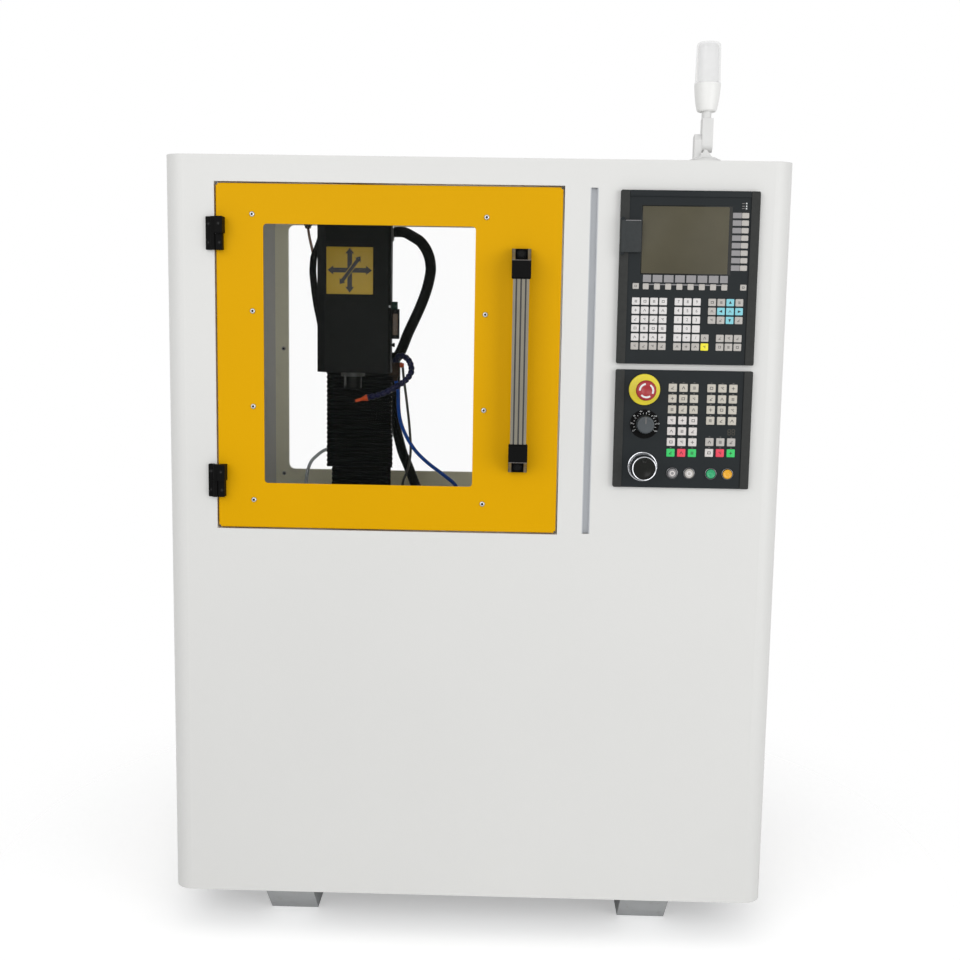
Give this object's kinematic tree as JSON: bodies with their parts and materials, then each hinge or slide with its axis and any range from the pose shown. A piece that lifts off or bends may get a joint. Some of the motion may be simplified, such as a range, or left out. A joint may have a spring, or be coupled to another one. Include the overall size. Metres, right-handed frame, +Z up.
{
  "type": "cnc milling machine",
  "caption": "Enclosed vertical CNC milling machine with a hinged window door, control panel, signal lamp, Z head on a column and X-Y table.",
  "frame": {"origin": "middle of the machine's footprint, on the runners' underside", "axes": "+Z up, -Y towards the operator in front of the door, +X to the operator's right"},
  "size_m": [1.226, 0.98, 1.816],
  "materials": {
    "white_paint": "satin powder coat",
    "grey_paint": "satin paint",
    "runner_paint": "satin paint",
    "cast_grey": "painted casting",
    "bright_steel": "ground",
    "sheet_steel": "plain sheet",
    "black_plastic": "moulded",
    "charcoal_plastic": "moulded",
    "key_grey": "foil",
    "screen_glass": "dark",
    "clear_pane": "clear",
    "clear_lens": "clear",
    "white_plastic": "gloss",
    "aluminium": "anodised",
    "chrome": "polished",
    "yellow_paint": "satin powder coat",
    "red_plastic": "gloss",
    "green_plastic": "gloss",
    "amber_plastic": "gloss",
    "black_rubber": "matt",
    "blue_plastic": "moulded",
    "bellows_cloth": "coated cloth",
    "dark_cover": "satin paint"
  },
  "bodies": {
    "enclosure": {"front_panel": "white_paint", "left_side_panel": "white_paint", "right_side_panel": "white_paint", "roof_panel": "white_paint", "rear_panel": "white_paint", "base_frame": "grey_paint", "runners": "runner_paint", "machine_stand": "grey_paint", "chip_tray": "sheet_steel", "divider_panel": "white_paint", "rear_frame": "white_paint", "rear_pane": "clear_pane", "panel_screws": "bright_steel", "trim_strip": "grey_paint", "hinge_fixed_leaves": "black_plastic", "control_housing": "charcoal_plastic", "screen": "screen_glass", "panel_keys": "key_grey", "panel_housing": "charcoal_plastic", "control_rings": "aluminium", "beacon_base": "black_plastic", "base_casting": "cast_grey", "column": "cast_grey", "axis_motors": "black_plastic", "electrical_plate": "grey_paint", "coolant_tank": "sheet_steel", "rear_fittings": "black_plastic", "way_cover": "bellows_cloth", "upper_cables": "black_rubber", "lower_hoses": "blue_plastic", "fixed_hoses": "black_rubber"},
    "door": {"door_panel": "yellow_paint", "door_pane": "clear_pane", "pane_screws": "bright_steel", "hinge_door_leaves": "black_plastic", "handle_bar": "aluminium", "handle_brackets": "black_plastic"},
    "head": {"head_casting": "cast_grey", "head_cover": "dark_cover", "spindle_motor": "black_plastic", "coolant_nozzle": "blue_plastic"},
    "spindle_shaft": {"spindle": "bright_steel"},
    "saddle_slide": {"saddle": "cast_grey"},
    "table_slide": {"table": "cast_grey", "x_motor": "black_plastic"},
    "z_ball_screw": {"z_screw": "bright_steel"},
    "y_ball_screw": {"y_screw": "bright_steel"},
    "x_ball_screw": {"x_screw": "bright_steel"},
    "estop": {"estop_button": "red_plastic"},
    "override": {"override_knob": "charcoal_plastic"},
    "wheel": {"handwheel": "chrome"},
    "clear_button": {"button_clear": "white_plastic"},
    "white_button": {"button_white": "white_plastic"},
    "green_button": {"button_green": "green_plastic"},
    "amber_button": {"button_amber": "amber_plastic"},
    "flap": {"cover_flap": "black_plastic"},
    "switch": {"main_switch": "red_plastic"},
    "beacon": {"beacon_arm": "black_plastic", "beacon_lamp": "white_plastic", "beacon_lens": "clear_lens"}
  },
  "joints": [
    {"name": "door_swing", "type": "hinge", "parent": "enclosure", "child": "door", "pos_m": [-0.5096, -0.447, 1.18], "axis": [0, 0, -1], "range_deg": [0, 110]},
    {"name": "head_travel", "type": "slide", "parent": "enclosure", "child": "head", "axis": [0, 0, 1], "range_m": [-0.205, 0.015], "deforming": ["way_cover", "upper_cables", "lower_hoses"]},
    {"name": "z_screw_turn", "type": "hinge", "parent": "enclosure", "child": "z_ball_screw", "pos_m": [-0.287, 0.096, 1.08], "axis": [0, 0, 1], "range_deg": [-550, 7390]},
    {"name": "spindle_turn", "type": "hinge", "parent": "head", "child": "spindle_shaft", "pos_m": [-0.287, -0.05, 1.18], "axis": [0, 0, 1], "continuous": true},
    {"name": "saddle_travel", "type": "slide", "parent": "enclosure", "child": "saddle_slide", "axis": [0, 1, 0], "range_m": [-0.075, 0.045]},
    {"name": "y_screw_turn", "type": "hinge", "parent": "enclosure", "child": "y_ball_screw", "pos_m": [-0.287, -0.055, 0.706], "axis": [0, 1, 0], "range_deg": [-1630, 2710]},
    {"name": "table_travel", "type": "slide", "parent": "saddle_slide", "child": "table_slide", "axis": [1, 0, 0], "range_m": [-0.1, 0.1]},
    {"name": "x_screw_turn", "type": "hinge", "parent": "table_slide", "child": "x_ball_screw", "pos_m": [-0.287, -0.05, 0.784], "axis": [1, 0, 0], "range_deg": [-3610, 3610]},
    {"name": "estop_push", "type": "slide", "parent": "enclosure", "child": "estop", "axis": [0, 1, 0], "range_m": [0, 0.006]},
    {"name": "override_turn", "type": "hinge", "parent": "enclosure", "child": "override", "pos_m": [0.3357, -0.455, 1.069], "axis": [0, 1, 0], "range_deg": [-140, 140]},
    {"name": "handwheel_turn", "type": "hinge", "parent": "enclosure", "child": "wheel", "pos_m": [0.334, -0.465, 0.9855], "axis": [0, 1, 0], "continuous": true},
    {"name": "clear_button_push", "type": "slide", "parent": "enclosure", "child": "clear_button", "axis": [0, 1, 0], "range_m": [0, 0.003], "stiffness_N_per_m": 400},
    {"name": "white_button_push", "type": "slide", "parent": "enclosure", "child": "white_button", "axis": [0, 1, 0], "range_m": [0, 0.003], "stiffness_N_per_m": 400},
    {"name": "green_button_push", "type": "slide", "parent": "enclosure", "child": "green_button", "axis": [0, 1, 0], "range_m": [0, 0.003], "stiffness_N_per_m": 400},
    {"name": "amber_button_push", "type": "slide", "parent": "enclosure", "child": "amber_button", "axis": [0, 1, 0], "range_m": [0, 0.003], "stiffness_N_per_m": 400},
    {"name": "flap_swing", "type": "hinge", "parent": "enclosure", "child": "flap", "pos_m": [0.28105, -0.45115, 1.43], "axis": [0, 0, -1], "range_deg": [0, 110]},
    {"name": "main_switch_turn", "type": "hinge", "parent": "enclosure", "child": "switch", "pos_m": [0.48, 0.475, 1.33], "axis": [0, 1, 0], "range_deg": [0, 90]},
    {"name": "beacon_fold", "type": "hinge", "parent": "enclosure", "child": "beacon", "pos_m": [0.446, -0.335, 1.618], "axis": [-1, 0, 0], "range_deg": [0, 90]}
  ],
  "couplings": [
    {"joint": "z_screw_turn", "follows": "head_travel", "rad_per_m": -628.32},
    {"joint": "y_screw_turn", "follows": "saddle_travel", "rad_per_m": -628.32},
    {"joint": "x_screw_turn", "follows": "table_travel", "rad_per_m": 628.32}
  ]
}
